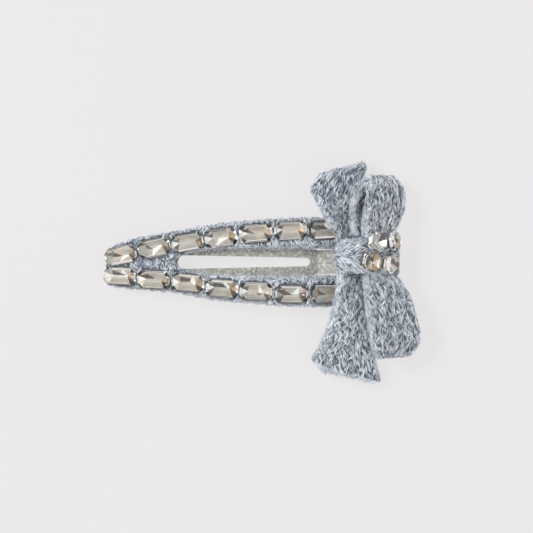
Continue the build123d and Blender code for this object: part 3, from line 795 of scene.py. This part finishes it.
def loose_fibres(ribbon, side, fringe):
    """Fine fibres over the ribbon, as many that stand out from its edges, and a fringe on a cut end."""
    count = int(FIBRES * ribbon.length)
    at_edges = slice(count, 2 * count)
    row = rng.uniform(0, ribbon.length, 2 * count)
    row = np.concatenate([row, ribbon.length - rng.uniform(0, 0.9, fringe)])
    total = len(row)
    share = ribbon.spread(row, rng.uniform(-0.5, 0.5, total))
    share[at_edges] = rng.choice([-1, 1], count) * rng.uniform(0.485, FACE_EDGE, count)
    rise = rng.uniform(0.15, 0.55, total)
    rise[at_edges] = rng.uniform(0.1, 0.85, count)
    slope = rng.normal(0, 0.6, total)
    length = rng.uniform(0.6, 1.8, total)
    path, out = ribbon_paths(
        ribbon, side, row, share, slope, length, FIBRE_SINK, rise, droop=0.8, stops=4, past=1.1)
    width = rng.uniform(0.07, 0.15, total)
    return path, out, width, mixed(total, with_painted_light(path, HALO_LIGHT), HALO_MID)


def end_strands(middle, across, normal, width, thick, per_area, light, stops=5):
    """Short strands over the flat slot-shaped end of a soft piece, whose outward side is across x normal."""
    count = int(per_area * width * thick)
    out = np.cross(across, normal)
    length = rng.uniform(0.6, 1.8, count)
    turn = rng.uniform(0, 2 * pi, count)
    start = rng.uniform(-0.5, 0.5, (count, 2)) * (width, thick)
    finish = start + np.stack([np.cos(turn), np.sin(turn)], 1) * length[:, None]

    def within(spot):
        beside = np.maximum(np.abs(spot[:, 0]) - (width - thick) / 2, 0)
        return np.hypot(beside, spot[:, 1]) < thick / 2 - END_MARGIN

    keep = within(start) & within(finish)
    kept = keep.sum()

    def surface(t):
        spot = (start + (finish - start) * t)[keep]
        return middle + spot[:, :1] * across + spot[:, 1:] * normal - END_SINK * out, np.tile(out, (kept, 1))

    path, outs = lay(surface, stops, rng.uniform(0.05, 0.35, kept))
    return path, outs, rng.uniform(0.12, 0.24, kept), mixed(kept, light, MID_SHARE)


def joined(name, *groups):
    """One piece of strands from groups of paths, outward directions, widths and wools."""
    return strands(name, *(np.concatenate(column) for column in zip(*groups)))


def dress_ribbon(name, reach, side, rows):
    """One ribbon of the bow: its knitted body, its plies and its halo of fibres."""
    ribbon = Ribbon(reach, side, rows)
    light = LIGHT_SHARES_AS_PAINTED_SHADE[name]
    body = knit_body(name, ribbon)
    layers = [layer(ribbon, face, light) for face in (1, -1) for layer in (stitch_tufts, under_plies)]
    if not ribbon.loops:
        last = np.array([ribbon.length])
        end = (ribbon.at(last, what)[0] for what in ("middle", "across", "normal", "width", "thick"))
        layers.append(end_strands(*end, TAIL_END_STRANDS, light - EDGE_DARKER))
    plies = joined(name + "_plies", *layers)
    fringe = 0 if ribbon.loops else FRINGE_FIBRES
    fibres = [loose_fibres(ribbon, face, fringe) for face in (1, -1)]
    halo = joined(name + "_halo", *fibres, edge_plies(ribbon, light))
    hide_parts(name)


def knot_skin(share, along, sink):
    """Points at a share of the way round the knot and a place along it from its middle, and the normals."""
    off_middle = np.minimum(np.abs(2 * along / KNOT_BAND), KNOT_ROUND_LIMIT)
    pulled_in = KNOT_LEFT_ROUND * (1 - np.sqrt(1 - off_middle ** 2))
    to_edge = (KNOT_BAND / 2 - np.abs(along)) / KNOT_EDGE_ROUND
    swell = 1 - KNOT_EDGE_SHARE * np.clip(1 - to_edge, 0, 1) ** 2
    radius = KNOT_DEPTH / 2 * swell
    y, z, ny, nz = slot_point(share, (KNOT_WIDTH * swell - pulled_in) / 2 - radius, radius - sink)
    point = KNOT + KNOT_FACE[:, 0] * (y + pulled_in / 2)[:, None] + KNOT_FACE[:, 2] * z[:, None]
    normal = KNOT_FACE[:, 0] * ny[:, None] + KNOT_FACE[:, 2] * nz[:, None]
    return point + np.array([0, 1.0, 0]) * along[:, None], normal


def knot_body():
    """The closed body of the knot, with the relief of its stitches and the pockets of its stones."""
    rings, sides = 60, 200
    along = np.repeat(np.linspace(-KNOT_BAND / 2, KNOT_BAND / 2, rings), sides)
    share = np.tile(np.arange(sides) / sides, rings)
    point, normal = knot_skin(share, along, KNOT_BODY_SINK)
    relief = stitch_relief(along / KNOT_BAND + 0.5, share * KNOT_AROUND, KNOT_COLUMNS) * KNOT_RELIEF
    point = under_stones(point + normal * relief[:, None], KNOT_POCKET_GAP)
    points, faces = closed_tube(point, rings, sides)
    return make("bow_knot_knit", points, faces, [WOOL_CORE_PAINTED_SHADE])


def knot_strands(count, lengths, widths, sink, rises, light, mid, fan):
    """Strands round the knot, which fan out from its left end, where they keep to this share of its band."""
    along = KNOT_START_REACH * KNOT_BAND * np.sin(pi / 2 * rng.uniform(-1, 1, count))
    share = rng.random(count)
    length = rng.uniform(*lengths, count)
    lean = rng.normal(0, KNOT_LEAN_SPREAD, count) - KNOT_LEAN * along / KNOT_BAND

    def surface(t):
        place = share + length * t / KNOT_AROUND
        point, _ = knot_skin(place, along, sink)
        across = (point - KNOT) @ KNOT_FACE[:, 0] / KNOT_WIDTH + 0.5
        squeeze = fan + (1 - fan) * np.sqrt(np.clip(across / 0.5, 0, 1))
        leaned = np.clip(along * squeeze + lean * length * t, -KNOT_STRAND_REACH, KNOT_STRAND_REACH)
        return knot_skin(place, leaned, sink)

    path, out = lay(surface, 4, rng.uniform(*rises, count))
    keep = clear_of_stones(path)
    return path[keep], out[keep], rng.uniform(*widths, count)[keep], mixed(count, light, mid)[keep]


def knot_ends():
    """Strands over the two flat ends of the knot."""
    pulled_in = KNOT_LEFT_ROUND * (1 - sqrt(1 - KNOT_ROUND_LIMIT ** 2))
    width = KNOT_WIDTH * (1 - KNOT_EDGE_SHARE) - pulled_in
    thick = KNOT_DEPTH * (1 - KNOT_EDGE_SHARE)
    across, up = KNOT_FACE[:, 0], KNOT_FACE[:, 2]
    ends = []
    for way in (1, -1):
        middle = KNOT + across * pulled_in / 2 + np.array([0, way * KNOT_BAND / 2, 0])
        ends.append(end_strands(middle, across, -way * up, width, thick, KNOT_END_STRANDS, 0.3, 4))
    return ends


def dress_knot():
    """The knot: its knitted body and its plies."""
    ends = knot_ends()
    body = knot_body()
    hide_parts("bow_knot")
    layers = [knot_strands(*layer) for layer in KNOT_LAYERS]
    joined("bow_knot_plies", *layers, *ends)


def arm_section(x, side):
    """Middle, width and height of one arm of the wrap at x."""
    along = (x - WRAP_TIP_X) / (WRAP_END_X - WRAP_TIP_X)
    outer, inner, bend, height = (np.interp(along, ARM[:, 0], ARM[:, column]) for column in (1, 2, 3, 4))
    outer = -bend * TIP_BEND + side * outer * WRAP_HALF_WIDTH
    inner = -bend * TIP_BEND + side * inner * WRAP_HALF_WIDTH
    return (outer + inner) / 2, np.abs(outer - inner), WRAP_HEIGHT * height


def arm_skin(x, share, side, sink):
    """Points round one arm of the wrap at x, and the normals. Its outer edge swells and shrinks along it."""
    middle, width, height = arm_section(x, side)
    flat = np.maximum((width - height) / 2, LEAST_FLAT)
    radius = np.maximum(height / 2 - sink, LEAST_RADIUS)
    y, z, ny, nz = slot_point(share, flat, radius)
    wave = np.abs(np.sin(pi * x / SCALLOP_LENGTH)) - SCALLOP_MIDDLE
    scallop = np.clip(side * y / (width / 2), 0, 1) ** 3 * SCALLOP_DEPTH * wave
    point = np.stack([x, middle + y + side * scallop, arch_z(x) + WRAP_LIFT + z], 1)
    return point + SET_DOWN, np.stack([np.zeros_like(ny), ny, nz], 1)


def from_opening(points):
    """How far each point lies in plan from the edge of the round-ended opening, and the way out of it."""
    near_x, far_x = OPENING_TIP_X + OPENING_TIP_RADIUS, OPENING_END_X - OPENING_END_RADIUS
    local = (points - SET_DOWN) * (1, 1, 0)
    local[..., 0] -= np.clip(local[..., 0], near_x, far_x)
    radius = np.interp(points[..., 0], (near_x, far_x), (OPENING_TIP_RADIUS, OPENING_END_RADIUS))
    return np.linalg.norm(local, axis=-1) - radius, unit(local)


def wrap_strands(per_arm, lengths, widths, rises, droop, more_inward, more_outward):
    """Strands laid round both arms of the wrap, which lean and curl as they cross it."""
    paths, outs, wools = [], [], []
    for side in (1, -1):
        x = rng.uniform(WRAP_START_X, WRAP_END_X - 0.5, per_arm)
        share = rng.random(per_arm)
        _, width, height = arm_section(x, side)
        around = 2 * np.maximum(width - height, 0.1) + pi * height
        length = rng.uniform(*lengths, per_arm)
        turn = rng.choice([-1.0, 1.0], per_arm) * rng.uniform(0.75, 1.0, per_arm)
        lean = rng.normal(0.25, 0.4, per_arm)
        curl = rng.normal(0, 0.35, per_arm)

        def surface(t):
            place = np.clip(x + length * (lean * t + curl * t * t), WRAP_TIP_X + 0.1, WRAP_END_X)
            return arm_skin(place, share + turn * length * t / around, side, WRAP_STRAND_SINK)

        _, out = surface(0.5)
        inward = np.clip(-side * out[:, 1], 0, 1)
        outward = np.clip(side * out[:, 1], 0, 1)
        swell = 1 + more_inward * inward + more_outward * outward
        path, out = lay(surface, 4, rng.uniform(*rises, per_arm) * swell, droop)
        keep = clear_of_stones(path) & (from_opening(path)[0] > OPENING_ROOM).all(1)
        keep &= (path[:, 0, 1] - SET_DOWN[1]) * side > -CREASE_OVERLAP
        paths.append(path[keep])
        outs.append(out[keep])
        # Fewer light plies at the tip paint shade; more light and fewer mid plies on the inner side paint
        # light
        light = np.where(x < OPENING_TIP_X, WRAP_TIP_PAINTED_SHADE, WRAP_LIGHT + WRAP_PAINTED_LIGHT_INWARD * inward)
        light = light + WRAP_LIGHT_OUTWARD * outward
        wools.append(mixed(keep.sum(), light[keep], WRAP_MID * (1 - WRAP_MID_PAINTED_LIGHT_INWARD * inward[keep])))
    path, out = np.concatenate(paths), np.concatenate(outs)
    return path, out, rng.uniform(*widths, len(path)), np.concatenate(wools)


def tip_strands(x):
    """Strands over the blunt end of the wrap, where its two arms meet."""
    (upper, width, height), (lower, _, _) = (arm_section(x, side) for side in (1, -1))
    middle = np.array([x, (upper + lower) / 2, arch_z(x) + WRAP_LIFT]) + SET_DOWN
    across, down = np.array([0, 1.0, 0]), np.array([0, 0, -1.0])
    return end_strands(middle, across, down, upper - lower + width, height, TIP_END_STRANDS, 0.5, 4)


def wrap_core():
    """The closed bodies of the wrap's two arms, whose flat ends lie a little apart and not in one plane."""
    points, faces, count = [], [], 0
    rings, sides = 190, 48
    for side, start in ((1, WRAP_START_X), (-1, WRAP_TIP_X + 0.5)):
        x = np.repeat(np.linspace(start, WRAP_END_X - 0.1, rings), sides)
        point, _ = arm_skin(x, np.tile(np.arange(sides) / sides, rings), side, WRAP_BODY_SINK)
        beyond, way_out = from_opening(point)
        point = point + way_out * np.clip(OPENING_CORE_ROOM - beyond, 0, 2)[:, None]
        tube, triangles = closed_tube(under_stones(point, WRAP_POCKET_GAP), rings, sides)
        points.append(tube)
        faces.append(triangles + count)
        count += len(tube)
    return make("yarn_wrap_core", np.concatenate(points), np.concatenate(faces), [WOOL_CORE_PAINTED_SHADE])


def dress_wrap():
    """The yarn worked round the frame: its core, its plies and its halo of fibres."""
    core = wrap_core()
    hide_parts("yarn_wrap")
    tip = tip_strands(WRAP_START_X)
    plies = wrap_strands(
        per_arm=7200, lengths=(0.9, 2.2), widths=(0.14, 0.28), rises=(0.12, 0.5), droop=0.0,
        more_inward=-0.3, more_outward=0.7)
    joined("yarn_wrap_plies", plies, tip)
    halo = wrap_strands(
        per_arm=4600, lengths=(0.6, 1.5), widths=(0.06, 0.13), rises=(0.05, 0.60), droop=0.7,
        more_inward=1.3, more_outward=1.0)
    joined("yarn_wrap_halo", halo)


def paint_nodes():
    """Glass on the nodes of the stones and bare metal on those of the steel."""
    for name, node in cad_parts.items():
        kind = GLASS if name.startswith("stone_") else TIN if name in ("snap_frame", "tongue") else None
        if kind:
            for each in node.material_slots:
                each.material = kind


def foil_shell(stone):
    """Points of the foil behind one stone, in the stone's own axes, and its facets with their kinds. The kinds
    are painted reflections: white at the left end, amber and brown at the right end, mostly tan towards +y and
    grey towards -y.
    """
    a, b, c = stone.half_length + FOIL_EDGE, stone.half_width + FOIL_EDGE, stone.corner
    keel = max(stone.half_length - stone.half_width, LEAST_KEEL)
    low = -stone.pavilion - FOIL_DROP
    split_top = rng.uniform(-0.1, 0.5)
    split_low = rng.uniform(-0.5, 0.3)
    split_keel = rng.uniform(-0.3, 0.4)
    sway = rng.uniform(-0.22, 0.22, 3)
    rim = [(a, b - c), (a - c, b), (-a + c, b), (-a, b - c)]
    rim += [(-x, -y) for x, y in rim]
    points = [(x, y, FOIL_TOP) for x, y in rim]
    points += [(split_top * a, b, FOIL_TOP), (split_low * a, -b, FOIL_TOP)]
    points += [(-keel, sway[0], low), (split_keel * keel, sway[1], low - 0.05), (keel, sway[2], low)]
    points.append((-0.5 * a, 0.5 * b, 0.6 * low))
    top, bottom, left, middle, right, shoulder = range(8, 14)

    def one_of(*kinds):
        shares = np.array([3.0, 1.5, 1.0][:len(kinds)])
        chosen = rng.choice(kinds, p=shares / shares.sum())
        if stone.tone == "pale" and chosen in (TAN, BROWN, SLATE, AMBER):
            chosen = rng.choice((GREY, WHITE, chosen), p=(0.45, 0.3, 0.25))
        if stone.tone == "dark" and chosen in (TAN, GREY, WHITE):
            chosen = rng.choice((AMBER, BROWN, SLATE, chosen), p=(0.2, 0.2, 0.1, 0.5))
        return chosen

    return points, [
        (1, 0, right, one_of(TAN, AMBER, GREY)),
        (top, 1, right, one_of(TAN, GREY)),
        (top, right, middle, one_of(WHITE, TAN, GREY)),
        (top, middle, shoulder, one_of(TAN, GREY)),
        (2, top, shoulder, TAN),
        (shoulder, middle, left, one_of(BROWN, TAN, SLATE)),
        (3, 2, shoulder, one_of(TAN, GREY, BROWN)),
        (3, shoulder, left, one_of(SLATE, BROWN, GREY)),
        (4, 3, left, one_of(WHITE, GREY)),
        (5, 4, left, one_of(GREY, SLATE)),
        (bottom, 5, left, GREY),
        (bottom, left, middle, one_of(GREY, TAN)),
        (bottom, middle, right, one_of(GREY, WHITE, TAN)),
        (6, bottom, right, one_of(TAN, GREY)),
        (7, 6, right, one_of(BROWN, AMBER)),
        (0, 7, right, one_of(AMBER, BROWN, TAN)),
    ]


def dress_stones():
    """The foils behind all the stones, coloured facet by facet with painted reflections."""
    points, faces, kinds = [], [], []
    for stone in STONES:
        shell, facets = foil_shell(stone)
        start = len(points)
        points += list(np.array(shell) @ stone.rotation.T + stone.origin)
        for a, b, c, kind in facets:
            faces.append((a + start, b + start, c + start))
            kinds.append(kind)
    make("stone_foils", points, faces, REFLECTION_FOILS, kinds, smooth=False)


def set_stage():
    """A plain pale floor under an even soft sky."""
    mesh = bpy.data.meshes.new("floor")
    half = 0.6
    corners = [(-half, -half, 0), (half, -half, 0), (half, half, 0), (-half, half, 0)]
    mesh.from_pydata(corners, [], [(0, 1, 2, 3)])
    floor = bpy.data.objects.new("floor", mesh)
    bpy.context.scene.collection.objects.link(floor)
    paint = material("floor_paint", [(79, 78, 78), (81, 80, 80)], 1.0, 8, Specular_IOR_Level=0.0)
    glow(paint, linear(235, 233, 234), 0.86)
    mesh.materials.append(paint)
    world = bpy.data.worlds.new("studio")
    bpy.context.scene.world = world
    world.use_nodes = True
    sky = world.node_tree.nodes["Background"]
    sky.inputs["Color"].default_value = (0.96, 0.98, 1.0, 1)
    sky.inputs["Strength"].default_value = 0.75


def soft_box(name, place, size, power, colour=(1, 1, 1)):
    """A flat lamp that faces the clip. Its place and size are in metres."""
    lamp = bpy.data.lights.new(name, "AREA")
    lamp.shape, lamp.size, lamp.size_y = "RECTANGLE", *size
    lamp.energy, lamp.color = power, colour
    holder = bpy.data.objects.new(name, lamp)
    holder.location = place
    holder.rotation_euler = Vector(place).to_track_quat("Z", "Y").to_euler()
    bpy.context.scene.collection.objects.link(holder)


def set_camera():
    """A camera straight above the photo's middle, with the photo's width in view at the clip's height."""
    view_width, height, middle_height = 133.25, 700.0, 5.0
    aim_x, aim_y = 1.125, -1.125
    lens = bpy.data.cameras.new("camera")
    lens.sensor_width = 36
    lens.lens = lens.sensor_width * (height - middle_height) / view_width
    lens.clip_start = 0.01
    camera = bpy.data.objects.new("camera", lens)
    camera.location = ((aim_x + SET_DOWN[0]) * MM, (aim_y + SET_DOWN[1]) * MM, height * MM)
    bpy.context.scene.collection.objects.link(camera)
    bpy.context.scene.camera = camera
    bpy.context.scene.view_settings.view_transform = "Standard"


for ribbon_name, (reach, side, rows) in RIBBONS.items():
    dress_ribbon(ribbon_name, reach, side, rows)
dress_knot()
dress_wrap()
paint_nodes()
dress_stones()
set_stage()
soft_box("key", (-0.8, 0.4, 1.0), (0.6, 0.5), 16)
soft_box("fill", (0.85, -0.6, 0.9), (0.4, 0.4), 5, (1.0, 0.97, 0.93))
set_camera()
